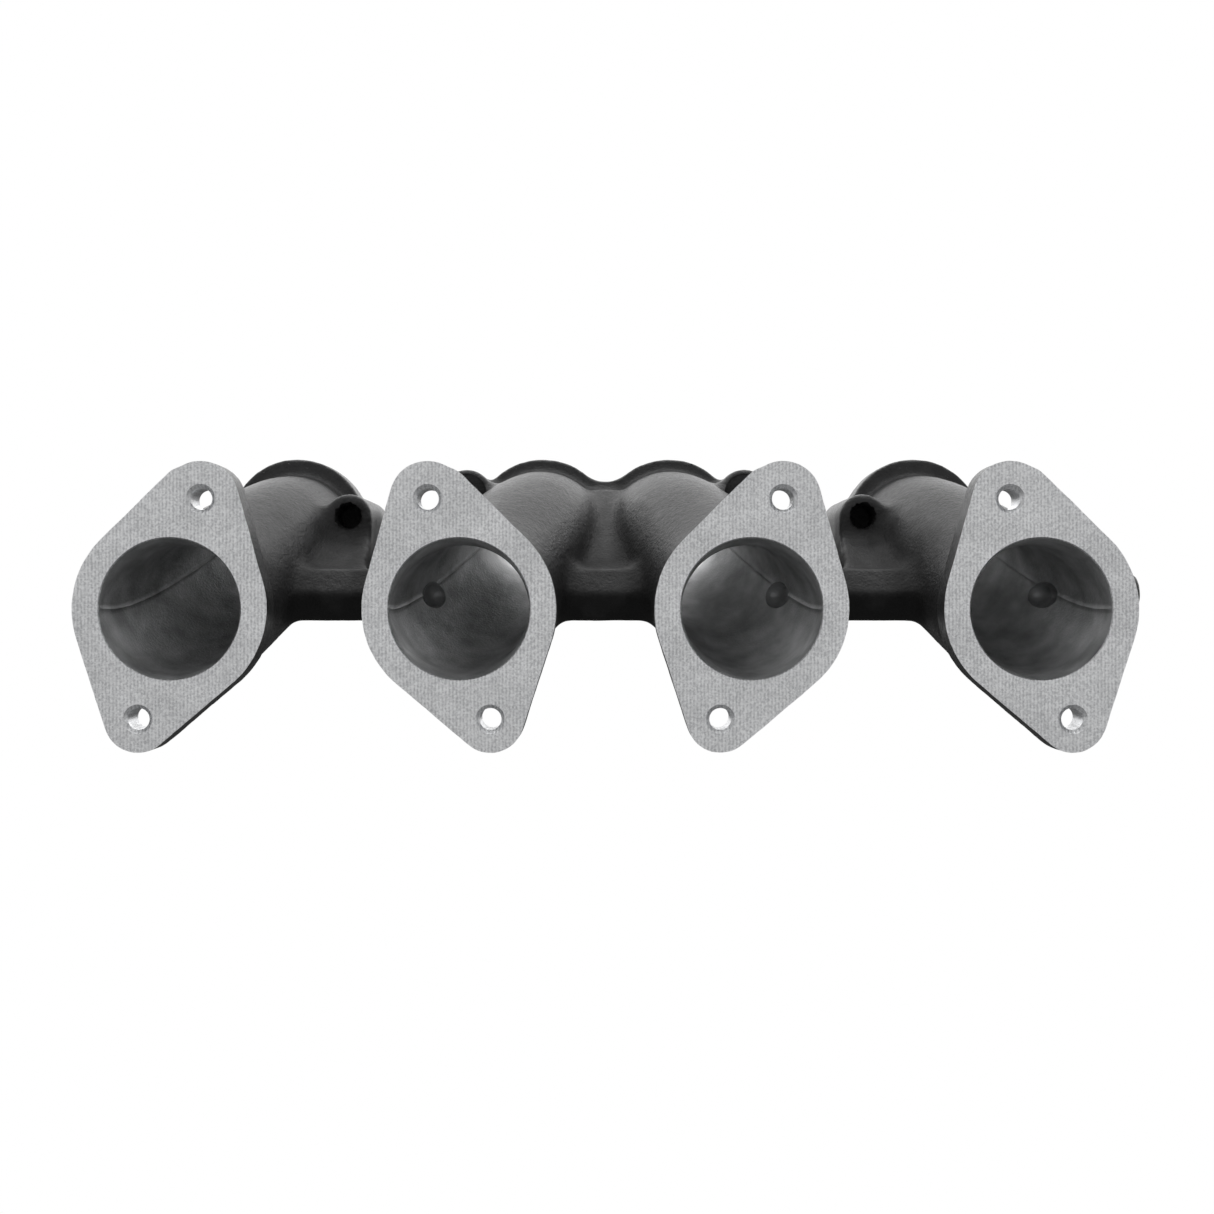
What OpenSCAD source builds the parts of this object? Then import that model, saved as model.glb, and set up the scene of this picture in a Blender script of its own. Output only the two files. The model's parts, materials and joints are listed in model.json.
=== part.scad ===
// Inlet manifold for two twin side-draught carburettors on a four-cylinder head.
// +X runs along the row of ports, +Y points at the cylinder head, +Z is up.
// The origin is on the head face, midway between ports 2 and 3, at port height.

/* [Carburettor side] */
// Distance between the two barrels of one carburettor
barrel_pitch = 90; // [84:1:100]
// Distance between the two inner barrels
inner_barrel_gap = 91; // [86:1:110]
// Bore at the carburettor face
barrel_d = 44; // [36:0.5:46]
// Thickness of each carburettor flange
carb_flange_t = 12; // [8:1:14]
// Radius of the flange round the barrel
carb_disc_r = 30.3; // [28:0.1:33]
// Radius of the flange round the top stud
top_disc_r = 11.8; // [9:0.1:13]
// Radius of the flange round the bottom stud
bottom_disc_r = 10.5; // [9:0.1:13]
// Sideways offset of each stud from the barrel
stud_dx = 9.75; // [6:0.25:12]
// Height of each stud above or below the barrel
stud_dz = 34.25; // [32:0.25:37]
// Drilled diameter of each tapped stud hole
stud_drill_d = 6.8; // [5:0.1:8]
// Diameter of the countersink at each stud hole
stud_sink_d = 9; // [8.5:0.1:11]

/* [Head side] */
// Distance between the two inner ports
inner_port_gap = 47; // [46:1:52]
// Distance between the two outer ports
outer_port_gap = 230; // [227:1:234]
// Bore of each port at the head face
port_d = 34; // [28:0.5:35]
// Height of the ports above the carburettor barrels
port_rise = 27; // [20:1:30]
// Thickness of the head flange
head_flange_t = 12; // [9:1:14]
// Radius of each lobe of the head flange
lobe_r = 25.3; // [24:0.1:28]
// Height of each lobe's centre above its port
lobe_lift = 3.5; // [2:0.5:5]
// Radius of the hollow between the two inner lobes
saddle_r = 12; // [10:0.5:14]
// Clearance hole for each head stud
head_stud_d = 8.5; // [7:0.1:9]

/* [Runners] */
// Overall length from carburettor face to head face
manifold_l = 110; // [100:1:125]
// Wall of a runner behind the carburettor flange
wall_carb = 6; // [4:0.5:6.5]
// Wall of a runner in front of the head flange
wall_head = 6; // [4:0.5:6]

/* [Ears] */
// Distance of each ear from the middle
ear_x = 90.5; // [89.5:0.5:92]
// Height of each ear hole above the ports
ear_z = 5.5; // [4:0.5:7]
// Radius of each ear
ear_r = 8; // [7.5:0.5:9]
// Length of each ear from the head face
ear_l = 45; // [38:1:48]
// Drilled diameter of the blind hole in each ear
ear_hole_d = 8.5; // [7:0.1:9]
// Depth of that hole before its point
ear_hole_l = 12; // [10:1:14]

/* [Stud bosses] */
// Distance of each boss from the middle
boss_x = 50.5; // [48:0.5:52]
// Height of each boss above the ports
boss_z = 14.5; // [13:0.5:18]
// Radius of each boss
boss_r = 9.2; // [8:0.1:9.5]
// Length of each boss from the head face
boss_l = 28; // [20:1:30]
// Diameter of the machined seat for the nut
seat_d = 15; // [14:0.5:16]

/* [Vacuum gallery] */
// Drilled diameter of the gallery
gallery_d = 8.5; // [6:0.5:9]
// Distance of the gallery from the head face
gallery_l = 64; // [60:1:68]
// Depth of the gallery below the ports
gallery_drop = 22.2; // [21:0.1:24]
// Half height of the bar that holds the gallery
bar_h = 8.8; // [8:0.1:10]
// Half width of the bar at its parting line
bar_w = 10; // [9:0.5:11]
// Half width of the flat top and bottom of the bar
bar_flat = 4; // [3:0.5:5]
// Distance of the take-off boss's end from the middle
takeoff_x = 180; // [172:1:184]
// Radius of the take-off boss
takeoff_r = 7; // [6:0.5:8]

/* [Centre rib] */
// Thickness of the rib
rib_w = 8; // [6:0.5:10]
// Height of the rib's top above the ports
rib_z = 17; // [14:0.5:18]

/* [Hidden] */
$fn = 96;

paint = "#2b2b2d";
bare = "#b4b6b8";
clear = 1;

barrel_x = [
    -inner_barrel_gap / 2 - barrel_pitch, -inner_barrel_gap / 2,
    inner_barrel_gap / 2, inner_barrel_gap / 2 + barrel_pitch
];
port_x = [-outer_port_gap / 2, -inner_port_gap / 2, inner_port_gap / 2, outer_port_gap / 2];
// The top stud leans to +X on flanges 1 and 3 and to -X on flanges 2 and 4
lean = [1, -1, 1, -1];
barrel_z = -port_rise;
carb_face_y = -manifold_l;
flange_back_y = carb_face_y + carb_flange_t;
plate_y = -head_flange_t;
plate_bottom = lobe_lift - lobe_r;
run_l = plate_y - flange_back_y;
gallery_y = -gallery_l;
gallery_z = -gallery_drop;

// Shoulder of the flange outline beside the top stud
shoulder = [2.4, 40.7];
shoulder_r = 3;
// Height of the low strip of head flange between two lobes
strip_top = -4;

runner_sides = 36;
runner_rings = 14;

// ---- Plane shapes, drawn in X and Z ----

function unit(v) = v / norm(v);

// Two discs and the straight flanks that touch both
module joined_discs(a, ra, b, rb) {
    hull() {
        translate(a) circle(ra);
        translate(b) circle(rb);
    }
}

// A plane shape given thickness between two distances from the head face
module slab(y_front, y_back) {
    translate([0, y_back, 0]) rotate([90, 0, 0]) linear_extrude(y_back - y_front) children();
}

// A round cutter along Y
module drill(x, z, d, y_front, y_back) {
    translate([x, y_back, z]) rotate([90, 0, 0]) cylinder(d = d, h = y_back - y_front);
}

// Clearance holes for the two upper head studs
module head_stud_holes(y_front, y_back) {
    for (s = [-1, 1])
        drill(s * boss_x, boss_z, head_stud_d, y_front, y_back);
}

// A profile in Y and Z given width along X
module ridge(x_left, x_right) {
    translate([x_left, 0, 0]) rotate([90, 0, 90]) linear_extrude(x_right - x_left) children();
}

// ---- Runner: a round tube swept along a smooth double bend ----

function ease(t) = t * t * (3 - 2 * t);
function ease_slope(t) = 6 * t * (1 - t);
function mix(a, b, t) = a + (b - a) * t;

function offset_of(i) = [port_x[i] - barrel_x[i], 0, port_rise];
function centre_at(i, t) =
    [barrel_x[i], flange_back_y + run_l * t, barrel_z] + offset_of(i) * ease(t);
// In-plane direction square to the path, and the direction square to its plane
function across_at(i, t) =
    unit(unit(offset_of(i)) - [0, norm(offset_of(i)) / run_l * ease_slope(t), 0]);
function beside(i) = cross([0, 1, 0], unit(offset_of(i)));
function ring(i, t, r) = [
    for (k = [0 : runner_sides - 1])
        centre_at(i, t) + r * (cos(360 * k / runner_sides) * across_at(i, t)
            + sin(360 * k / runner_sides) * beside(i))
];
function skin(i, r_carb, r_head) = [
    for (j = [0 : runner_rings]) each ring(i, j / runner_rings, mix(r_carb, r_head, j / runner_rings))
];
// Corner number of side k on ring j
function at(j, k) = j * runner_sides + k % runner_sides;
function side_faces(base, flip) = [
    for (j = [0 : runner_rings - 1]) for (k = [0 : runner_sides - 1])
        let (q = [at(j, k), at(j, k + 1), at(j + 1, k + 1), at(j + 1, k)])
        [for (n = [0 : 3]) base + q[flip ? 3 - n : n]]
];

// The whole volume inside the outer skin
module runner_core(i) {
    ends = [
        [for (k = [0 : runner_sides - 1]) at(0, k)],
        [for (k = [0 : runner_sides - 1]) at(runner_rings, runner_sides - 1 - k)]
    ];
    polyhedron(
        skin(i, barrel_d / 2 + wall_carb, port_d / 2 + wall_head),
        concat(side_faces(0, true), ends),
        convexity = 4
    );
}

module runner_tube(i) {
    inner = (runner_rings + 1) * runner_sides;
    polyhedron(
        concat(
            skin(i, barrel_d / 2 + wall_carb, port_d / 2 + wall_head),
            skin(i, barrel_d / 2, port_d / 2)
        ),
        concat(
            side_faces(0, true),
            side_faces(inner, false),
            [for (k = [0 : runner_sides - 1])
                [at(0, k), at(0, k + 1), inner + at(0, k + 1), inner + at(0, k)]],
            [for (k = [0 : runner_sides - 1])
                [at(runner_rings, k + 1), at(runner_rings, k),
                inner + at(runner_rings, k), inner + at(runner_rings, k + 1)]]
        ),
        convexity = 6
    );
}

// The gallery runs from runner 1 out through the take-off boss
module gallery() {
    x_start = barrel_x[0] + barrel_d / 4;
    translate([x_start, gallery_y, gallery_z]) rotate([0, 90, 0])
        cylinder(d = gallery_d, h = takeoff_x + clear - x_start);
}

// ---- Carburettor flanges ----

module carb_outline(i) {
    top = [lean[i] * stud_dx, stud_dz];
    side = [lean[i] * shoulder.x, shoulder.y];
    joined_discs([0, 0], carb_disc_r, top, top_disc_r);
    joined_discs([0, 0], carb_disc_r, -top, bottom_disc_r);
    joined_discs([0, 0], carb_disc_r, side, shoulder_r);
}

module stud_hole(x, z) {
    sink = (stud_sink_d - stud_drill_d) / 2;
    drill(x, z, stud_drill_d, carb_face_y - clear, flange_back_y + clear);
    translate([x, carb_face_y - clear, z]) rotate([-90, 0, 0])
        cylinder(d1 = stud_sink_d + 2 * clear, d2 = stud_drill_d, h = sink + clear);
}

module carb_flange(i) {
    color(bare) difference() {
        slab(carb_face_y, flange_back_y) translate([barrel_x[i], barrel_z]) carb_outline(i);
        drill(barrel_x[i], barrel_z, barrel_d, carb_face_y - clear, flange_back_y + clear);
        for (s = [-1, 1])
            stud_hole(barrel_x[i] + s * lean[i] * stud_dx, barrel_z + s * stud_dz);
    }
}

// ---- Runners ----

module runner(i) {
    color(paint) difference() {
        runner_tube(i);
        gallery();
    }
}

// ---- Head flange: four lobes and the strips that join them ----

module lobe(i) {
    translate([port_x[i], lobe_lift]) circle(lobe_r);
}

// The plate round the two inner ports, hollowed between the tops of its lobes
module inner_lobes() {
    offset(r = -saddle_r) offset(r = saddle_r) {
        lobe(1);
        lobe(2);
    }
    translate([port_x[1], plate_bottom]) square([port_x[2] - port_x[1], lobe_r]);
}

module port_flange(i) {
    inner = i == 1 || i == 2;
    // The inner lobes part at the middle
    half = [port_x[3], 4 * lobe_r];
    color(paint) difference() {
        slab(plate_y, 0) {
            if (inner) {
                intersection() {
                    inner_lobes();
                    translate([i == 1 ? -half.x : 0, -half.y / 2]) square(half);
                }
            } else {
                lobe(i);
            }
        }
        drill(port_x[i], 0, port_d, plate_y - clear, clear);
        head_stud_holes(plate_y - clear, clear);
    }
}

module flange_bridge(s) {
    color(paint) difference() {
        slab(plate_y, 0) difference() {
            union() {
                joined_discs([s * ear_x, ear_z], ear_r, [s * ear_x, plate_bottom + ear_r], ear_r);
                joined_discs([s * boss_x, boss_z], boss_r, [s * boss_x, plate_bottom + boss_r], boss_r);
                translate([s * (port_x[2] + port_x[3]) / 2, (strip_top + plate_bottom) / 2])
                    square([port_x[3] - port_x[2], strip_top - plate_bottom], center = true);
            }
            lobe(s < 0 ? 0 : 3);
            lobe(s < 0 ? 1 : 2);
        }
        head_stud_holes(plate_y - clear, clear);
    }
}

// ---- Ears, and bosses for the head studs ----

module stud_ear(s) {
    x_mid = s * ear_x;
    color(paint) difference() {
        union() {
            slab(-ear_l, plate_y)
                joined_discs([x_mid, ear_z], ear_r, [x_mid, plate_bottom + ear_r], ear_r);
            // Gusset down to the gallery bar
            ridge(x_mid - ear_r, x_mid + ear_r) polygon([
                [-ear_l, -2], [gallery_y + bar_flat, gallery_z + bar_h],
                [gallery_y + bar_w, gallery_z], [-ear_l, gallery_z]
            ]);
        }
        drill(x_mid, ear_z, ear_hole_d, -ear_l - clear, ear_hole_l - ear_l);
        translate([x_mid, ear_hole_l - ear_l, ear_z]) rotate([-90, 0, 0])
            cylinder(d1 = ear_hole_d, d2 = 0.4, h = 0.3 * ear_hole_d);
        runner_core(s < 0 ? 0 : 3);
        bar_solid();
    }
}

module stud_boss(s) {
    color(paint) difference() {
        slab(-boss_l, plate_y) translate([s * boss_x, boss_z]) circle(boss_r);
        head_stud_holes(-boss_l - clear, plate_y + clear);
        drill(s * boss_x, boss_z, seat_d, -boss_l - clear, 1 - boss_l);
        runner_core(s < 0 ? 1 : 2);
    }
}

// ---- Gallery bar, in three lengths between the runners ----

module bar_profile() {
    polygon([
        for (p = [[-bar_w, 0], [-bar_flat, bar_h], [bar_flat, bar_h],
            [bar_w, 0], [bar_flat, -bar_h], [-bar_flat, -bar_h]])
            [gallery_y + p.x, gallery_z + p.y]
    ]);
}

module bar_solid() {
    ridge(barrel_x[0], barrel_x[3]) bar_profile();
}

// One length of the bar, between runner i and the next one
module gallery_bar(i) {
    color(paint) difference() {
        ridge(centre_at(i, 0.4).x, centre_at(i + 1, 0.4).x) bar_profile();
        runner_core(i);
        runner_core(i + 1);
        gallery();
    }
}

module centre_rib() {
    color(paint) difference() {
        ridge(-rib_w / 2, rib_w / 2) polygon([
            [plate_y, rib_z], [plate_y - 6, rib_z],
            [gallery_y + bar_flat, gallery_z + bar_h],
            [gallery_y + bar_w, gallery_z], [plate_y, gallery_z + bar_h]
        ]);
        runner_core(1);
        runner_core(2);
    }
}

module vacuum_takeoff() {
    color(paint) difference() {
        translate([port_x[3], gallery_y, gallery_z]) rotate([0, 90, 0])
            cylinder(r = takeoff_r, h = takeoff_x - port_x[3]);
        runner_core(3);
        gallery();
    }
}

carb_flange(0);  // carb_flange_1
carb_flange(1);  // carb_flange_2
carb_flange(2);  // carb_flange_3
carb_flange(3);  // carb_flange_4
runner(0);  // runner_1
runner(1);  // runner_2
runner(2);  // runner_3
runner(3);  // runner_4
port_flange(0);  // port_flange_1
port_flange(1);  // port_flange_2
port_flange(2);  // port_flange_3
port_flange(3);  // port_flange_4
flange_bridge(-1);  // flange_bridge_left
flange_bridge(1);  // flange_bridge_right
stud_ear(-1);  // stud_ear_left
stud_ear(1);  // stud_ear_right
stud_boss(-1);  // stud_boss_left
stud_boss(1);  // stud_boss_right
gallery_bar(0);  // gallery_bar_left
gallery_bar(1);  // gallery_bar_centre
gallery_bar(2);  // gallery_bar_right
centre_rib();
vacuum_takeoff();
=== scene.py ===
import json
import math
import bpy
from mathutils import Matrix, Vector
from mathutils.bvhtree import BVHTree
from mathutils.kdtree import KDTree

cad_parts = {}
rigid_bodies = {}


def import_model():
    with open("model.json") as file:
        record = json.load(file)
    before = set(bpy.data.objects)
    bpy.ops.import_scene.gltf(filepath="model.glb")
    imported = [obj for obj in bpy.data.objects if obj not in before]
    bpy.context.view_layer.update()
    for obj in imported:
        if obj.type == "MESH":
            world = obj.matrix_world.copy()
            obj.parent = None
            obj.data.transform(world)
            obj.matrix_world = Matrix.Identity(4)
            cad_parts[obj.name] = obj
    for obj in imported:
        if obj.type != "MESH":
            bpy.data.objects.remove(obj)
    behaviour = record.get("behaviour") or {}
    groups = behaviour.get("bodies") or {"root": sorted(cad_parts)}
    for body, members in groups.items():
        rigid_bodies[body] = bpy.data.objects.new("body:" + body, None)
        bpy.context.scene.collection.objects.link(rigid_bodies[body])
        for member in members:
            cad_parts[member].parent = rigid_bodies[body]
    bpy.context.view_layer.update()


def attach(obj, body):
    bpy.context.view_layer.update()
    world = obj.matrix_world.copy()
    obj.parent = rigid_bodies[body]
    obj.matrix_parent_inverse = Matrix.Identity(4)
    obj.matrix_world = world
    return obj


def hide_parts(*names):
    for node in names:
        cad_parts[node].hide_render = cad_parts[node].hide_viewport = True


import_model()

# Cast inlet manifold: painted sand casting with four milled carburettor faces.
# Sizes in the dictionaries are in mm, and mm() turns them into scene metres.


def mm(value):
    return value * 0.001


# Camera, a little below the middle of the casting and square to the carburettor faces

camera = {"place": (0.5, -598, -26.4), "lens": 46.6}

cameraData = bpy.data.cameras.new("camera")
cameraData.lens = camera["lens"]
cameraData.clip_start = 0.01
cameraObject = bpy.data.objects.new("camera", cameraData)
bpy.context.scene.collection.objects.link(cameraObject)
cameraObject.location = [mm(v) for v in camera["place"]]
cameraObject.rotation_euler = (math.radians(90), 0, 0)
bpy.context.scene.camera = cameraObject
print("camera placed")

# Places shared by the pieces

castingPlan = {
    "carbFace": -110, "flangeBack": -98, "plateFront": -12, "headFace": 0,
    "barrelX": (-135.5, -45.5, 45.5, 135.5), "barrelZ": -27, "barrelR": 22,
    "portX": (-115, -23.5, 23.5, 115), "portR": 17,
    "galleryY": -64, "galleryZ": -22.2, "galleryR": 4.25,
    "spare": 3,  # metal left on the faces for milling
}
plan = castingPlan


# Working habits in the viewport, as functions


def deselectAll():
    if bpy.context.mode != "OBJECT":
        bpy.ops.object.mode_set(mode="OBJECT")
    bpy.ops.object.select_all(action="DESELECT")


def pick(*objs):
    deselectAll()
    for obj in objs:
        obj.select_set(True)
    bpy.context.view_layer.objects.active = objs[0]


def settle(name):  # the primitive just added gets its name, and its place goes into its mesh
    obj = bpy.context.object
    obj.name = name
    pick(obj)
    bpy.ops.object.transform_apply(location=True, rotation=True, scale=True)
    return obj


def joined(name, objs):
    pick(*objs)
    if len(objs) > 1:
        bpy.ops.object.join()
    objs[0].name = name
    return objs[0]


def copied(obj, name):
    twin = obj.copy()
    twin.data = obj.data.copy()
    twin.name = name
    bpy.context.scene.collection.objects.link(twin)
    return twin


def modify(obj, kind, **settings):
    pick(obj)
    modifier = obj.modifiers.new(kind.lower(), kind)
    for key, value in settings.items():
        setattr(modifier, key, value)
    bpy.ops.object.modifier_apply(modifier=modifier.name)


def combine(obj, tool, operation, keepTool=False):
    modify(obj, "BOOLEAN", operation=operation, object=tool, solver="MANIFOLD")
    if not keepTool:
        bpy.data.objects.remove(tool)


def discAlongY(name, x, z, r, front, back, sides=96):
    deselectAll()
    bpy.ops.mesh.primitive_cylinder_add(
        vertices=sides, radius=mm(r), depth=mm(back - front),
        location=(mm(x), mm((front + back) / 2), mm(z)), rotation=(math.radians(90), 0, 0))
    return settle(name)


def coneAlongY(name, x, z, rFront, rBack, front, back, sides=96):
    deselectAll()
    bpy.ops.mesh.primitive_cone_add(
        vertices=sides, radius1=mm(rFront), radius2=mm(rBack), depth=mm(back - front),
        location=(mm(x), mm((front + back) / 2), mm(z)), rotation=(math.radians(-90), 0, 0))
    return settle(name)


def discAlongX(name, y, z, r, left, right, sides=64):
    deselectAll()
    bpy.ops.mesh.primitive_cylinder_add(
        vertices=sides, radius=mm(r), depth=mm(right - left),
        location=(mm((left + right) / 2), mm(y), mm(z)), rotation=(0, math.radians(90), 0))
    return settle(name)


def block(name, low, high):
    deselectAll()
    bpy.ops.mesh.primitive_cube_add(size=1, location=[mm((a + b) / 2) for a, b in zip(low, high)])
    bpy.context.object.scale = [mm(b - a) for a, b in zip(low, high)]
    return settle(name)


def hullOf(name, objs):
    obj = joined(name, objs)
    bpy.ops.object.mode_set(mode="EDIT")
    bpy.ops.mesh.select_all(action="SELECT")
    bpy.ops.mesh.convex_hull()
    bpy.ops.object.mode_set(mode="OBJECT")
    return obj


def prism(name, outline, left, right):  # outline is (y, z) corners, drawn at the left and pulled to the right
    deselectAll()
    bpy.ops.mesh.primitive_circle_add(vertices=len(outline), radius=mm(10), fill_type="NGON")
    obj = settle(name)
    for vertex, (y, z) in zip(obj.data.vertices, outline):
        vertex.co = (mm(left), mm(y), mm(z))
    bpy.ops.object.mode_set(mode="EDIT")
    bpy.ops.mesh.select_all(action="SELECT")
    bpy.ops.mesh.extrude_region_move(TRANSFORM_OT_translate={"value": (mm(right - left), 0, 0)})
    bpy.ops.mesh.select_all(action="SELECT")
    bpy.ops.mesh.normals_make_consistent(inside=False)
    bpy.ops.object.mode_set(mode="OBJECT")
    return obj


# Runner path: straight out of both flanges, with one smooth double bend between them


def easeAt(y):
    t = min(max((y - plan["flangeBack"]) / (plan["plateFront"] - plan["flangeBack"]), 0), 1)
    return t, t * t * (3 - 2 * t)


def centreOf(i, y):
    t, e = easeAt(y)
    return (plan["barrelX"][i] + (plan["portX"][i] - plan["barrelX"][i]) * e, plan["barrelZ"] * (1 - e))


def runnerSweep(name, i, rCarb, rPort, front, back, section=None):
    deselectAll()
    bpy.ops.curve.primitive_bezier_curve_add()
    obj = bpy.context.object
    obj.name = name
    obj.data.splines.clear()
    path = obj.data.splines.new("POLY")
    steps = round((back - front) / 2)
    path.points.add(steps)
    for k, point in enumerate(path.points):
        y = front + (back - front) * k / steps
        x, z = centreOf(i, y)
        point.co = (mm(x), mm(y), mm(z), 1)
        point.radius = mm(rCarb + (rPort - rCarb) * easeAt(y)[0])
    obj.data.dimensions = "3D"
    obj.data.twist_mode = "Z_UP"
    if section:
        obj.data.bevel_mode = "OBJECT"
        obj.data.bevel_object = section
    else:
        obj.data.bevel_depth = 1
        obj.data.bevel_resolution = 22
    pick(obj)
    bpy.ops.object.convert(target="MESH")
    obj = bpy.context.object
    bpy.ops.object.mode_set(mode="EDIT")
    bpy.ops.mesh.select_all(action="SELECT")
    bpy.ops.mesh.remove_doubles(threshold=mm(0.002))
    bpy.ops.mesh.fill_holes(sides=0)
    bpy.ops.mesh.select_all(action="SELECT")
    bpy.ops.mesh.normals_make_consistent(inside=False)
    bpy.ops.object.mode_set(mode="OBJECT")
    return settle(name)


# Raw casting, shape by shape

plates = []  # flanges, with crisp edges and tight corners
limbs = []  # runners and what is cast between them, with full corners

carbFlange = {"disc": 30.3, "topDisc": 11.8, "bottomDisc": 10.5, "stud": (9.75, 34.25),
              "shoulder": (2.4, 40.7, 3), "lean": (1, -1, 1, -1)}

for i in range(4):
    x, z = plan["barrelX"][i], plan["barrelZ"]
    dx, dz = carbFlange["stud"][0] * carbFlange["lean"][i], carbFlange["stud"][1]
    sx, sz, sr = carbFlange["shoulder"]
    front, back = plan["carbFace"] - plan["spare"], plan["flangeBack"]
    for ox, oz, r in ((dx, dz, carbFlange["topDisc"]), (-dx, -dz, carbFlange["bottomDisc"]),
                      (sx * carbFlange["lean"][i], sz, sr)):
        plates.append(hullOf("flangeArm", [
            discAlongY("disc", x, z, carbFlange["disc"], front, back),
            discAlongY("arm", x + ox, z + oz, r, front, back)]))

runner = {"wallCarb": 6, "wallPort": (4.8, 6.6, 6.6, 4.8)}

for i in range(4):
    limbs.append(runnerSweep(
        "tube", i, plan["barrelR"] + runner["wallCarb"], plan["portR"] + runner["wallPort"][i],
        plan["flangeBack"] - 5, plan["plateFront"] + 5))

headFlange = {"lobe": 25.3, "lift": 3.5, "saddle": 12, "stripTop": -4}
plateBottom = headFlange["lift"] - headFlange["lobe"]
plateBack = plan["headFace"] + plan["spare"]

for x in plan["portX"]:
    plates.append(discAlongY(
        "lobe", x, headFlange["lift"], headFlange["lobe"], plan["plateFront"], plateBack, 128))

saddleReach = headFlange["lobe"] + headFlange["saddle"]
saddleRise = math.sqrt(saddleReach ** 2 - plan["portX"][2] ** 2)
saddleTop = headFlange["lift"] + saddleRise * headFlange["lobe"] / saddleReach
saddleHalf = plan["portX"][2] * headFlange["saddle"] / saddleReach
saddle = block("saddle", (-saddleHalf, plan["plateFront"], 0), (saddleHalf, plateBack, saddleTop))
combine(saddle, discAlongY("hollow", 0, headFlange["lift"] + saddleRise, headFlange["saddle"],
                           plan["plateFront"] - 1, plateBack + 1), "DIFFERENCE")
plates.append(saddle)
outer, inner = plan["portX"][3], plan["portX"][2]
plates.append(block(
    "strip", (-outer, plan["plateFront"], plateBottom), (outer, plateBack, headFlange["stripTop"])))
plates.append(block("web", (-inner, plan["plateFront"], plateBottom), (inner, plateBack, 3)))

ear = {"x": 90.5, "z": 5.5, "r": 8, "front": -45}
boss = {"x": 50.5, "z": 14.5, "r": 9.2, "front": -28, "web": (33.5, 9, 1.6)}
bar = {"half": 8.8, "wide": 10, "flat": 4}

for side in (-1, 1):
    x = side * ear["x"]
    limbs.append(hullOf("ear", [
        discAlongY("top", x, ear["z"], ear["r"], ear["front"], plateBack),
        discAlongY("foot", x, plateBottom + ear["r"], ear["r"], ear["front"], plateBack)]))
    limbs.append(prism("gusset", [
        (ear["front"] + 4, -2), (ear["front"], -2),
        (plan["galleryY"] + bar["flat"], plan["galleryZ"] + bar["half"]),
        (plan["galleryY"] + bar["wide"], plan["galleryZ"]), (ear["front"] + 4, plan["galleryZ"])],
        x - ear["r"], x + ear["r"]))
    x = side * boss["x"]
    limbs.append(discAlongY("boss", x, boss["z"], boss["r"], boss["front"], plateBack))
    webX, webZ, webR = boss["web"]
    limbs.append(hullOf("web", [
        discAlongY("top", x - side * 3, boss["z"] - 4, 5, boss["front"], plan["plateFront"]),
        discAlongY("tip", side * webX, webZ, webR, boss["front"] + 1, plan["plateFront"])]))
    plates.append(hullOf("bossFoot", [
        discAlongY("top", x, boss["z"], boss["r"], plan["plateFront"], plateBack),
        discAlongY("foot", x, plateBottom + boss["r"], boss["r"], plan["plateFront"], plateBack)]))

barOutline = [(plan["galleryY"] + y, plan["galleryZ"] + z) for y, z in (
    (-bar["wide"], 0), (-bar["flat"], bar["half"]), (bar["flat"], bar["half"]),
    (bar["wide"], 0), (bar["flat"], -bar["half"]), (-bar["flat"], -bar["half"]))]
limbs.append(prism("bar", barOutline, plan["barrelX"][0], plan["barrelX"][3]))

rib = {"half": 4.2, "top": 17}
limbs.append(prism("rib", [
    (plan["plateFront"] + 3, rib["top"]), (plan["plateFront"] - 6, rib["top"]),
    (plan["galleryY"] + bar["flat"], plan["galleryZ"] + bar["half"]),
    (plan["galleryY"] + bar["wide"], plan["galleryZ"]),
    (plan["plateFront"] + 3, plan["galleryZ"] + bar["half"])], -rib["half"], rib["half"]))

takeoff = {"r": 7, "end": 180}
limbs.append(discAlongX(
    "takeoff", plan["galleryY"], plan["galleryZ"], takeoff["r"], plan["portX"][3], takeoff["end"]))

limbs = joined("limbs", limbs)
plates = joined("plates", plates)
print("raw shapes built")

# One skin over the lot: inner corners filled as in a sand mould, outer edges kept, then the mould's grain

mould = {"cell": 0.85, "limbFillet": 3.2, "plateFillet": 1.3, "soften": 12,
         "waves": 0.3, "waveSize": 11, "grain": 0.14, "grainSize": 1.9}


def skinned(name, objs):
    obj = joined(name, objs)
    modify(obj, "REMESH", mode="VOXEL", voxel_size=mm(mould["cell"]))
    return obj


# Swollen and shrunk back by the same amount, which fills only hollow corners
def cornersFilled(name, objs, fillet):
    obj = skinned(name, [copied(o, name) for o in objs])
    modify(obj, "DISPLACE", strength=mm(fillet), mid_level=0)
    modify(obj, "REMESH", mode="VOXEL", voxel_size=mm(mould["cell"]))
    modify(obj, "DISPLACE", strength=-mm(fillet), mid_level=0)
    return skinned(name, [obj] + [copied(o, name) for o in objs])


fullLimbs = cornersFilled("fullLimbs", [limbs], mould["limbFillet"])
casting = cornersFilled("casting", [fullLimbs, plates], mould["plateFillet"])
for obj in (limbs, fullLimbs, plates):
    bpy.data.objects.remove(obj)
modify(casting, "SMOOTH", factor=0.5, iterations=mould["soften"])
for label, size in (("waves", mould["waveSize"]), ("grain", mould["grainSize"])):
    sand = bpy.data.textures.new(label, "CLOUDS")
    sand.noise_scale = mm(size)
    modify(casting, "DISPLACE", strength=mm(mould[label]), mid_level=0.5, texture=sand,
           texture_coords="LOCAL")
print("skin has", len(casting.data.vertices), "points")

# Milling: the spare metal comes off both ends


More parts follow.
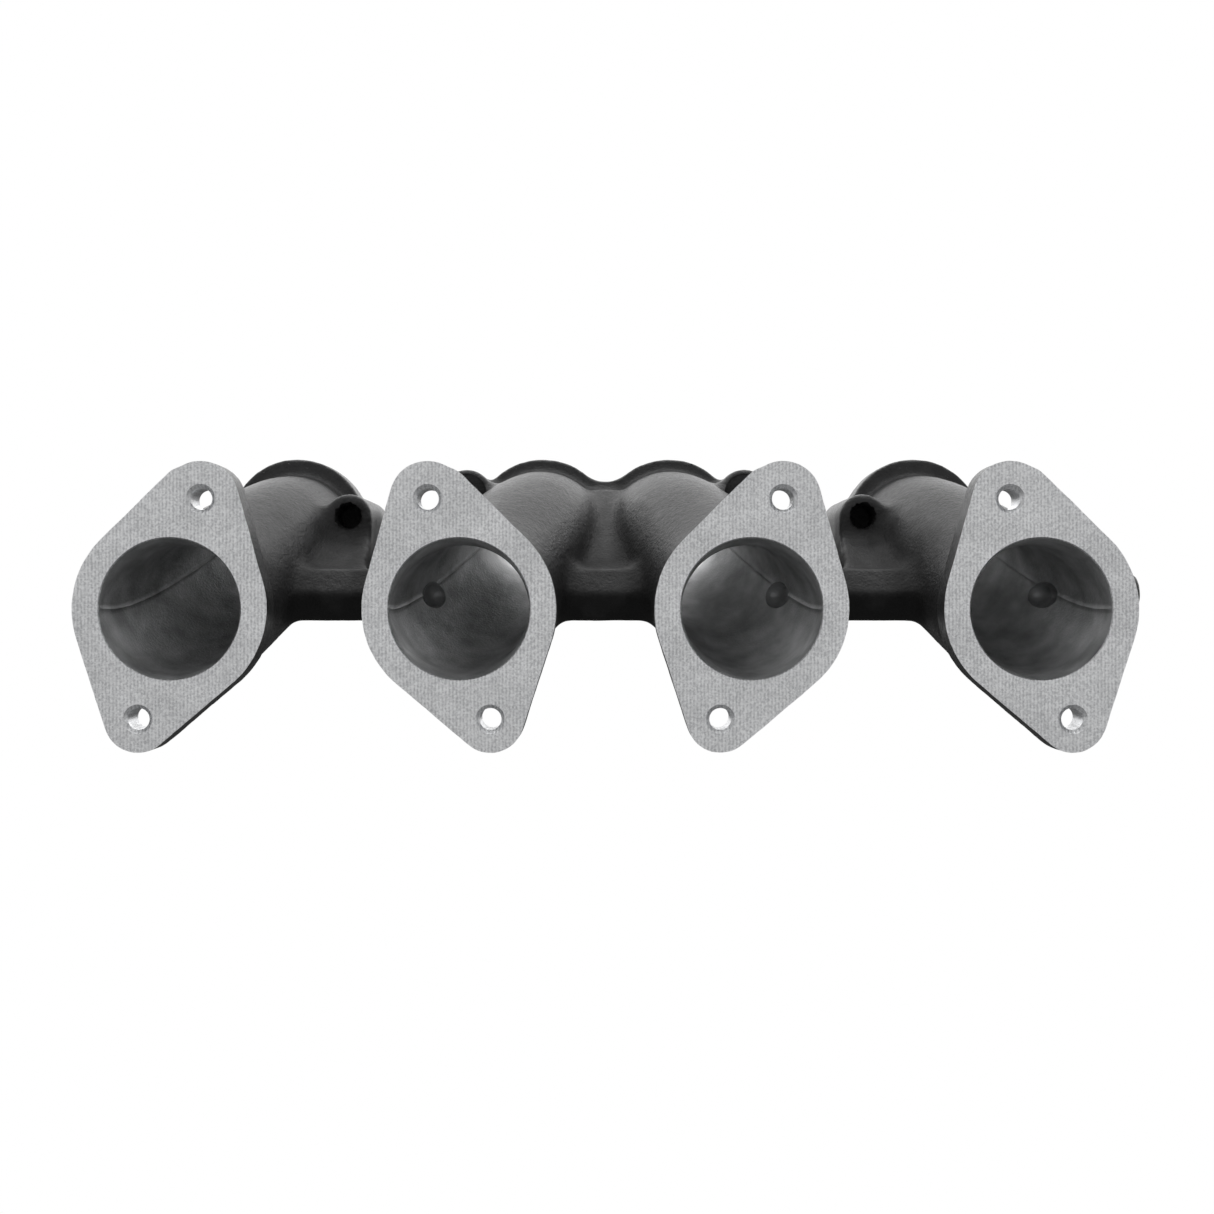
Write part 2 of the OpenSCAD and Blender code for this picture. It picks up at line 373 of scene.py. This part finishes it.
def mill(obj, y, clearFront):
    pick(obj)
    bpy.ops.object.mode_set(mode="EDIT")
    bpy.ops.mesh.select_all(action="SELECT")
    bpy.ops.mesh.bisect(plane_co=(0, mm(y), 0), plane_no=(0, 1, 0), use_fill=True,
                        clear_inner=clearFront, clear_outer=not clearFront)
    bpy.ops.object.mode_set(mode="OBJECT")


mill(casting, plan["carbFace"], True)
mill(casting, plan["headFace"], False)

# Cored passages, with the core's own parting seam along both sides

core = {"height": 0.93, "steps": 40, "seamHalf": 0.002, "seamDeep": 0.02, "rim": 0.3, "throat": 20.4,
        "pocket": (5.5, 8.8, 4.6)}


def coreSection():
    bpy.ops.curve.primitive_bezier_circle_add()
    obj = bpy.context.object
    obj.name = "coreSection"
    obj.data.splines.clear()
    h = core["height"]
    arc = (1 + h * h) / (2 * h)
    points = []
    for sign in (1, -1):
        for k in range(core["steps"]):
            x = math.cos(math.pi * (k + 0.5) / core["steps"]) * (1 - core["seamHalf"])
            points.append((x * sign, sign * (math.sqrt(arc * arc - x * x) - arc + h)))
        points.append((-sign * (1 - core["seamDeep"]), 0))
    spline = obj.data.splines.new("POLY")
    spline.points.add(len(points) - 1)
    for point, (x, y) in zip(spline.points, points):
        point.co = (x, y, 0, 1)
    spline.use_cyclic_u = True
    obj.data.dimensions = "2D"
    return obj


section = coreSection()
for i in range(4):
    passage = runnerSweep(
        "passage", i, plan["barrelR"], plan["portR"], plan["carbFace"] - 2, plan["headFace"] + 2, section)
    combine(casting, passage, "DIFFERENCE")
bpy.data.objects.remove(section)
barrelR, barrelZ, carbFace = plan["barrelR"], plan["barrelZ"], plan["carbFace"]
mouths = [coneAlongY("mouth", x, barrelZ, barrelR + 0.14, core["throat"], carbFace - 1, plan["flangeBack"])
          for x in plan["barrelX"]]
combine(casting, joined("mouths", mouths), "DIFFERENCE")
rims = [coneAlongY("rim", x, barrelZ, barrelR + core["rim"] + 1, barrelR - 0.2,
                   carbFace - 1, carbFace + core["rim"] + 0.2) for x in plan["barrelX"]]
combine(casting, joined("rims", rims), "DIFFERENCE")
ports = [discAlongY("port", x, 0, plan["portR"], plan["headFace"] - 5, 1) for x in plan["portX"]]
combine(casting, joined("ports", ports), "DIFFERENCE")
print("passages cored")

# Drilled and countersunk holes

studHole = {"r": 3.4, "sink": 4.5}
studDx, studDz = carbFlange["stud"]
studPlaces = [(plan["barrelX"][i] + sign * studDx * carbFlange["lean"][i], barrelZ + sign * studDz)
              for i in range(4) for sign in (1, -1)]
sinkDeep = studHole["sink"] - studHole["r"]
drills = [discAlongY("drill", x, z, studHole["r"], carbFace - 2, plan["flangeBack"] + 8)
          for x, z in studPlaces]
combine(casting, joined("drills", drills), "DIFFERENCE")
sinks = [coneAlongY("sink", x, z, studHole["sink"] + 1, studHole["r"] - 0.1,
                    carbFace - 1, carbFace + sinkDeep + 0.1) for x, z in studPlaces]
combine(casting, joined("sinks", sinks), "DIFFERENCE")

headHole = {"r": 4.25, "seat": 7.5, "seatDeep": 1}
bossSides = [-boss["x"], boss["x"]]
drills = [discAlongY("drill", x, boss["z"], headHole["r"], boss["front"] - 12, 2) for x in bossSides]
combine(casting, joined("drills", drills), "DIFFERENCE")
seats = [discAlongY("seat", x, boss["z"], headHole["seat"],
                    boss["front"] - 8, boss["front"] + headHole["seatDeep"]) for x in bossSides]
combine(casting, joined("seats", seats), "DIFFERENCE")

# The ears' holes are blind, and break through the rough skin with a ragged edge
earHole = {"r": 4.25, "deep": 12, "point": 2.5, "ragged": 1.4, "crumb": 1.6, "cell": 0.4}
for side in (-1, 1):
    x, front = side * ear["x"], ear["front"]
    point = front + earHole["deep"]
    combine(casting, discAlongY("drill", x, ear["z"], earHole["r"], front - 5, point), "DIFFERENCE")
    tip = coneAlongY("point", x, ear["z"], earHole["r"], 0.2, point - 0.01, point + earHole["point"])
    combine(casting, tip, "DIFFERENCE")
    mouth = coneAlongY("mouth", x, ear["z"], earHole["r"] + 1.2, earHole["r"] - 0.5, front - 1.5, front + 3)
    modify(mouth, "REMESH", mode="VOXEL", voxel_size=mm(earHole["cell"]))
    crumbs = bpy.data.textures.new("crumbs", "CLOUDS")
    crumbs.noise_scale = mm(earHole["crumb"])
    modify(mouth, "DISPLACE", strength=mm(earHole["ragged"]), mid_level=0.5, texture=crumbs,
           texture_coords="LOCAL")
    combine(casting, mouth, "DIFFERENCE")

combine(casting, discAlongX("gallery", plan["galleryY"], plan["galleryZ"], plan["galleryR"],
                            plan["barrelX"][0] + 11, takeoff["end"] + 4), "DIFFERENCE")
print("holes drilled")

# Scooped mouths where the gallery breaks into each passage

scoops = []
scoopPlaces = []
for i in range(4):
    x, z = centreOf(i, plan["galleryY"])
    reach = math.sqrt(20 ** 2 - (z - plan["galleryZ"]) ** 2)
    for side in (-1, 1):
        if (i, side) == (0, -1):
            continue
        deselectAll()
        bpy.ops.mesh.primitive_uv_sphere_add(segments=48, ring_count=24, radius=1, location=(
            mm(x + side * reach), mm(plan["galleryY"]), mm(plan["galleryZ"])))
        bpy.context.object.scale = [mm(v) for v in core["pocket"]]
        scoops.append(settle("scoop"))
        scoopPlaces.append(x + side * reach)
combine(casting, joined("scoops", scoops), "DIFFERENCE")
print("gallery mouths scooped")

# Materials


def toLinear(hexColour):
    parts = [int(hexColour[k:k + 2], 16) / 255 for k in (1, 3, 5)]
    return [c / 12.92 if c <= 0.04045 else ((c + 0.055) / 1.055) ** 2.4 for c in parts] + [1]


def addNode(tree, kind, settings=None, inputs=None, links=None):
    node = tree.nodes.new(kind)
    for key, value in (settings or {}).items():
        setattr(node, key, value)
    for key, value in (inputs or {}).items():
        node.inputs[key].default_value = value
    for key, (source, output) in (links or {}).items():
        tree.links.new(source.outputs[output], node.inputs[key])
    return node


def startMaterial(name):
    material = bpy.data.materials.new(name)
    material.use_nodes = True
    tree = material.node_tree
    tree.nodes.clear()
    place = addNode(tree, "ShaderNodeTexCoord")
    return material, tree, place


def endMaterial(tree, shader):
    addNode(tree, "ShaderNodeOutputMaterial", links={"Surface": (shader, "BSDF")})


# Satin black stoving paint over sand-cast aluminium: the paint fills the finest sand marks but
# follows the coarse ones, so the light breaks up into a soft, grainy sheen. In the hollows the paint
# is drier, and its colour is darkened towards the near-black hollow colour: that darkening is painted shade
paint = {"hollow": "#030303", "dark": "#1a1a1b", "light": "#272728", "grit": 0.9, "lumps": 2.8,
         "rough": 0.38, "dry": 0.72, "shut": 0.42, "open": 0.78}


def paintedCasting():
    material, tree, place = startMaterial("satinPaintOnSandCasting")
    grit = addNode(tree, "ShaderNodeTexNoise", links={"Vector": (place, "Object")},
                   inputs={"Scale": 1 / mm(paint["grit"]), "Detail": 4, "Roughness": 0.6})
    lumps = addNode(tree, "ShaderNodeTexNoise", inputs={"Scale": 1 / mm(paint["lumps"]), "Detail": 3},
                    links={"Vector": (place, "Object")})
    colour = addNode(tree, "ShaderNodeValToRGB", links={"Fac": (lumps, "Fac")})
    colour.color_ramp.elements[0].color = toLinear(paint["dark"])
    colour.color_ramp.elements[0].position = 0.35
    colour.color_ramp.elements[1].color = toLinear(paint["light"])
    colour.color_ramp.elements[1].position = 0.7
    # Painted shade: the less open the skin is to the sky, the more its colour is mixed towards the near-black
    # hollow colour
    openness = addNode(tree, "ShaderNodeAttribute", settings={"attribute_name": "openness"})
    reach = addNode(tree, "ShaderNodeMapRange", links={"Value": (openness, "Fac")},
                    inputs={"From Min": paint["shut"], "From Max": paint["open"]})
    paintedShade = addNode(tree, "ShaderNodeMix", settings={"data_type": "RGBA"},
                    links={"Factor": (reach, "Result")})
    paintedShade.inputs[6].default_value = toLinear(paint["hollow"])
    tree.links.new(colour.outputs["Color"], paintedShade.inputs[7])
    rough = addNode(tree, "ShaderNodeMapRange", links={"Value": (grit, "Fac")}, inputs={
        "From Min": 0.3, "From Max": 0.7, "To Min": paint["rough"] - 0.07, "To Max": paint["rough"] + 0.08})
    dull = addNode(tree, "ShaderNodeMapRange", inputs={"To Min": paint["dry"]},
                   links={"Value": (reach, "Result"), "To Max": (rough, "Result")})
    fine = addNode(tree, "ShaderNodeBump", inputs={"Strength": 0.8, "Distance": mm(0.4)},
                   links={"Height": (grit, "Fac")})
    coarse = addNode(tree, "ShaderNodeBump", inputs={"Strength": 0.35, "Distance": mm(0.6)},
                     links={"Height": (lumps, "Fac"), "Normal": (fine, "Normal")})
    shader = addNode(tree, "ShaderNodeBsdfPrincipled", inputs={"IOR": 1.5},
                     links={"Roughness": (dull, "Result"), "Normal": (coarse, "Normal")})
    tree.links.new(paintedShade.outputs[2], shader.inputs["Base Color"])
    endMaterial(tree, shader)
    return material


# Bare aluminium off a fly cutter: fine parallel tool lines that catch the light as a faint
# stripe, with a sparkle where the cast grain is cut through. The real lines are about 0.3 apart,
# too fine to show, so they are drawn coarser
milled = {"dark": "#c3c4c6", "light": "#fafbfc", "pitch": 1.1, "rough": 0.36, "grain": 0.6,
          "patch": 14}


def milledFace():
    material, tree, place = startMaterial("milledAluminium")
    bandsPerMetre = 0.31416 / mm(milled["pitch"])  # a band is pi / 10 wide at a scale of 1
    lines = addNode(tree, "ShaderNodeTexWave", links={"Vector": (place, "Object")},
                    settings={"wave_type": "BANDS", "bands_direction": "X", "wave_profile": "SIN"},
                    inputs={"Scale": bandsPerMetre, "Distortion": 0.6, "Detail": 2, "Detail Scale": 1.5})
    grain = addNode(tree, "ShaderNodeTexNoise", links={"Vector": (place, "Object")},
                    inputs={"Scale": 1 / mm(milled["grain"]), "Detail": 5, "Roughness": 0.65})
    patch = addNode(tree, "ShaderNodeTexNoise", links={"Vector": (place, "Object")},
                    inputs={"Scale": 1 / mm(milled["patch"]), "Detail": 2})
    rough = addNode(tree, "ShaderNodeMapRange", links={"Value": (patch, "Fac")}, inputs={
        "From Min": 0.3, "From Max": 0.7, "To Min": milled["rough"] - 0.08, "To Max": milled["rough"] + 0.1})
    mixed = addNode(tree, "ShaderNodeMath", settings={"operation": "MULTIPLY_ADD"}, inputs={1: 0.12},
                    links={0: (lines, "Fac"), 2: (grain, "Fac")})
    colour = addNode(tree, "ShaderNodeValToRGB", links={"Fac": (mixed, "Value")})
    colour.color_ramp.elements[0].color = toLinear(milled["dark"])
    colour.color_ramp.elements[0].position = 0.4
    colour.color_ramp.elements[1].color = toLinear(milled["light"])
    colour.color_ramp.elements[1].position = 0.7
    cut = addNode(tree, "ShaderNodeBump", inputs={"Strength": 0.35, "Distance": mm(0.1)},
                  links={"Height": (lines, "Fac")})
    pits = addNode(tree, "ShaderNodeBump", inputs={"Strength": 0.5, "Distance": mm(0.15)},
                   links={"Height": (grain, "Fac"), "Normal": (cut, "Normal")})
    shader = addNode(tree, "ShaderNodeBsdfPrincipled", inputs={"Metallic": 1}, links={
        "Base Color": (colour, "Color"), "Roughness": (rough, "Result"), "Normal": (pits, "Normal")})
    endMaterial(tree, shader)
    return material


# Bare aluminium as it left the sand core: dull, mid-grey and pitted, with no tool marks
bareCast = {"dark": "#8f9091", "light": "#c4c5c6", "grit": 0.9, "stain": 9, "rough": 0.48, "metal": 0.6}


def coredSurface():
    material, tree, place = startMaterial("bareCoredAluminium")
    grit = addNode(tree, "ShaderNodeTexNoise", links={"Vector": (place, "Object")},
                   inputs={"Scale": 1 / mm(bareCast["grit"]), "Detail": 5, "Roughness": 0.6})
    stain = addNode(tree, "ShaderNodeTexNoise", links={"Vector": (place, "Object")},
                    inputs={"Scale": 1 / mm(bareCast["stain"]), "Detail": 4})
    colour = addNode(tree, "ShaderNodeValToRGB", links={"Fac": (stain, "Fac")})
    colour.color_ramp.elements[0].color = toLinear(bareCast["dark"])
    colour.color_ramp.elements[0].position = 0.3
    colour.color_ramp.elements[1].color = toLinear(bareCast["light"])
    colour.color_ramp.elements[1].position = 0.75
    bump = addNode(tree, "ShaderNodeBump", inputs={"Strength": 0.6, "Distance": mm(0.3)},
                   links={"Height": (grit, "Fac")})
    shader = addNode(tree, "ShaderNodeBsdfPrincipled",
                     inputs={"Metallic": bareCast["metal"], "Roughness": bareCast["rough"]},
                     links={"Base Color": (colour, "Color"), "Normal": (bump, "Normal")})
    endMaterial(tree, shader)
    return material


finishes = [paintedCasting(), milledFace(), coredSurface()]
casting.data.materials.clear()
for finish in finishes:
    casting.data.materials.append(finish)


def finishOf(face):  # 0 painted, 1 milled, 2 bare cast
    x, y, z = [v / 0.001 for v in face.center]
    if abs(y - plan["carbFace"]) < 0.05 or (y < plan["carbFace"] + 0.4 and face.normal.y < -0.5):
        return 1
    if abs(y - plan["headFace"]) < 0.05:
        return 1
    studReach = studHole["sink"] if y < plan["carbFace"] + sinkDeep else studHole["r"]
    if y < plan["flangeBack"] + 1 and min(math.hypot(x - a, z - b) for a, b in studPlaces) < studReach + 0.05:
        return 1
    for i in range(4):
        cx, cz = centreOf(i, y)
        r = plan["barrelR"] + (plan["portR"] - plan["barrelR"]) * easeAt(y)[0]
        if math.hypot(x - cx, z - cz) < r + 3:
            return 1 if y < plan["carbFace"] + core["rim"] + 0.1 else 2
    across = math.hypot(y - plan["galleryY"], z - plan["galleryZ"])
    if x > plan["barrelX"][0] and across < plan["galleryR"] + 0.1:
        return 2
    wide, long, high = core["pocket"]
    for a in scoopPlaces:
        if math.hypot((x - a) / wide, (y - plan["galleryY"]) / long, (z - plan["galleryZ"]) / high) < 1.05:
            return 2
    return 0


print("finishes mixed")

# How open each part of the skin is to the sky, felt out with rays: the paint's colour is darkened in the
# shut-in hollows by it, as painted shade

feel = {"every": 6, "rays": 24, "lowest": -0.35, "turn": 2.39996, "grazing": 0.05, "fewest": 6,
        "reach": 70, "lift": 0.4, "blend": 5}


def feelOpenness(obj):
    tree = BVHTree.FromPolygons([v.co for v in obj.data.vertices], [p.vertices for p in obj.data.polygons])
    rays = []
    for k in range(feel["rays"]):  # evenly spread over the upper two thirds of a sphere, a golden turn apart
        z = 1 - (1 - feel["lowest"]) * (k + 0.5) / feel["rays"]
        turn = k * feel["turn"]
        flat = math.sqrt(1 - z * z)
        rays.append(Vector((flat * math.cos(turn), flat * math.sin(turn), z)))
    points = list(obj.data.vertices)[::feel["every"]]
    finder = KDTree(len(points))
    values = []
    for k, point in enumerate(points):
        start = point.co + point.normal * mm(feel["lift"])
        facing = [ray for ray in rays if ray.dot(point.normal) > feel["grazing"]]
        clear = [ray for ray in facing if tree.ray_cast(start, ray, mm(feel["reach"]))[0] is None]
        values.append(len(clear) / max(len(facing), feel["fewest"]))
        finder.insert(point.co, k)
    finder.balance()
    return finder, values


finder, values = feelOpenness(casting)


def layOpenness(obj):
    # Openness for every point, which the paint turns into painted shade in its colour
    layer = obj.data.attributes.new("openness", "FLOAT", "POINT")
    for vertex, slot in zip(obj.data.vertices, layer.data):
        near = finder.find_n(vertex.co, feel["blend"])
        slot.value = sum(values[found[1]] for found in near) / len(near)


print("openness felt at", len(values), "points")

# The casting is parted into the named sections of the frame


def box(low, high):
    return block("region", low, high)


def barRegion(left, right):
    growY, growZ = 1.25, 1.3125  # a little fatter than the bar itself
    outline = [(plan["galleryY"] + y * growY, plan["galleryZ"] + z * growZ) for y, z in (
        (-bar["wide"], 0), (-bar["flat"], bar["half"]), (bar["flat"], bar["half"]),
        (bar["wide"], 0), (bar["flat"], -bar["half"]), (-bar["flat"], -bar["half"]))]
    return prism("region", outline, left, right)


def fatTube(i):
    spare = 0.7
    return runnerSweep("fatTube", i, plan["barrelR"] + runner["wallCarb"] + spare,
                       plan["portR"] + runner["wallPort"][i] + spare,
                       plan["flangeBack"] - 5, plan["plateFront"] + 5)


def lobeRegion(i):
    disc = discAlongY("region", plan["portX"][i], headFlange["lift"], headFlange["lobe"] + 0.6,
                      plan["plateFront"], 4, 128)
    if i in (1, 2):
        combine(disc, box((-9.5, -12, -30), (9.5, 4, 40)), "UNION")
        left, right = (-200, 0) if i == 1 else (0, 200)
        combine(disc, box((left, -13, -60), (right, 5, 60)), "INTERSECT")
    return disc


def takeSection(name, region, lessTubes=()):
    for i in lessTubes:
        combine(region, fatTube(i), "DIFFERENCE")
    piece = copied(casting, name)
    combine(piece, region, "INTERSECT", keepTool=True)
    combine(casting, region, "DIFFERENCE")
    for face in piece.data.polygons:
        face.material_index = finishOf(face)
    layOpenness(piece)
    pick(piece)
    bpy.ops.object.shade_smooth_by_angle(angle=math.radians(38))
    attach(piece, "root")
    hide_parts(name.removesuffix("_look"))
    return piece


farOut = 400
sections = []
for i in range(4):
    x = plan["barrelX"][i]
    region = box((x - 44.9, -120, -90), (x + 44.9, plan["flangeBack"], 60))
    sections.append(takeSection(f"carb_flange_{i + 1}_look", region))
for i in range(4):
    sections.append(takeSection(f"port_flange_{i + 1}_look", lobeRegion(i)))
for name, low, high in (("left", -130, 0), ("right", 0, 130)):
    region = box((low, plan["plateFront"], -60), (high, 5, 60))
    sections.append(takeSection(f"flange_bridge_{name}_look", region))
for name, i in (("left", 0), ("centre", 1), ("right", 2)):
    left, right = plan["barrelX"][i] + 5, plan["barrelX"][i + 1] - 5
    sections.append(takeSection(f"gallery_bar_{name}_look", barRegion(left, right), (i, i + 1)))
for name, side, i in (("left", -1, 0), ("right", 1, 3)):
    x = side * ear["x"]
    region = box((x - 13, -60, -34), (x + 13, -11, 22))
    sections.append(takeSection(f"stud_ear_{name}_look", region, (i, 1 if i == 0 else 2)))
for name, side, i in (("left", -1, 1), ("right", 1, 2)):
    x = side * boss["x"]
    sections.append(takeSection(f"stud_boss_{name}_look", box((x - 12, -32, 4), (x + 12, -11, 32)), (i,)))
sections.append(takeSection("centre_rib_look", box((-9, -62, -30), (9, -11, 24)), (1, 2)))
sections.append(takeSection("vacuum_takeoff_look", box((135, -76, -36), (190, -50, -10)), (3,)))
for i, (low, high) in enumerate(((-farOut, -ear["x"]), (-ear["x"], 0), (0, ear["x"]), (ear["x"], farOut))):
    sections.append(takeSection(f"runner_{i + 1}_look", box((low, -105, -farOut), (high, -5, farOut))))
bpy.data.objects.remove(casting)
for obj in [o for o in bpy.data.objects if o.name.startswith("region")]:
    bpy.data.objects.remove(obj)
for piece in sections:
    print(piece.name, len(piece.data.polygons), "faces")

# Floor, sky and studio lights

# The floor shows plain white and sends no light, which comes from the sky and the softbox
stage = {"floor": -140, "size": 6000}
deselectAll()
bpy.ops.mesh.primitive_plane_add(size=mm(stage["size"]), location=(0, 0, mm(stage["floor"])))
floor = settle("floor")
floorMaterial = bpy.data.materials.new("paleFloor")
floorMaterial.use_nodes = True
tree = floorMaterial.node_tree
tree.nodes.clear()
ray = addNode(tree, "ShaderNodeLightPath")
seen = addNode(tree, "ShaderNodeEmission", inputs={"Color": (1, 1, 1, 1), "Strength": 1})
unfelt = addNode(tree, "ShaderNodeBsdfTransparent")
mixed = addNode(tree, "ShaderNodeMixShader", links={
    0: (ray, "Is Camera Ray"), 1: (unfelt, "BSDF"), 2: (seen, "Emission")})
addNode(tree, "ShaderNodeOutputMaterial", links={"Surface": (mixed, "Shader")})
floor.data.materials.append(floorMaterial)

# Sky brightness by height, from straight down to straight up, in front of the casting and behind it
sky = {"front": ((0, 0.2), (0.28, 0.22), (0.41, 0.5), (0.5, 0.72), (0.6, 0.6), (0.8, 0.4), (1, 0.6)),
       "back": ((0, 0.1), (0.45, 0.12), (0.53, 1.4), (0.7, 1.9), (1, 0.8))}
world = bpy.data.worlds.new("studio")
bpy.context.scene.world = world
world.use_nodes = True
tree = world.node_tree
tree.nodes.clear()
place = addNode(tree, "ShaderNodeTexCoord")
parts = addNode(tree, "ShaderNodeSeparateXYZ", links={"Vector": (place, "Generated")})
rise = addNode(tree, "ShaderNodeMapRange", inputs={"From Min": -1, "From Max": 1},
               links={"Value": (parts, "Z")})
ramps = {}
for side, stops in sky.items():
    ramp = addNode(tree, "ShaderNodeValToRGB", links={"Fac": (rise, "Result")})
    while len(ramp.color_ramp.elements) < len(stops):
        ramp.color_ramp.elements.new(0.5)
    for element, (height, light) in zip(ramp.color_ramp.elements, stops):
        element.position = height
        element.color = (light, light, light, 1)
    ramps[side] = ramp
behind = addNode(tree, "ShaderNodeMapRange", inputs={"From Min": -0.2, "From Max": 0.4},
                 links={"Value": (parts, "Y")})
glow = addNode(tree, "ShaderNodeMix", settings={"data_type": "RGBA"}, links={"Factor": (behind, "Result")})
tree.links.new(ramps["front"].outputs["Color"], glow.inputs[6])
tree.links.new(ramps["back"].outputs["Color"], glow.inputs[7])
ray = addNode(tree, "ShaderNodeLightPath")
lit = addNode(tree, "ShaderNodeBackground")
tree.links.new(glow.outputs[2], lit.inputs["Color"])
white = addNode(tree, "ShaderNodeBackground", inputs={"Color": (1, 1, 1, 1), "Strength": 1})
mixed = addNode(tree, "ShaderNodeMixShader", links={
    0: (ray, "Is Camera Ray"), 1: (lit, "Background"), 2: (white, "Background")})
addNode(tree, "ShaderNodeOutputWorld", links={"Surface": (mixed, "Shader")})

lights = {"softbox": ((0, 60, 700), (1.2, 0.6), 2.4)}
for name, (place, size, power) in lights.items():
    data = bpy.data.lights.new(name, "AREA")
    data.shape = "RECTANGLE"
    data.size, data.size_y = size
    data.energy = power
    lamp = bpy.data.objects.new(name, data)
    bpy.context.scene.collection.objects.link(lamp)
    lamp.location = [mm(v) for v in place]
    lamp.rotation_euler = (Vector((0, mm(-40), 0)) - lamp.location).to_track_quat("-Z", "Y").to_euler()
bpy.context.scene.view_settings.view_transform = "Standard"
print("stage and lights set")
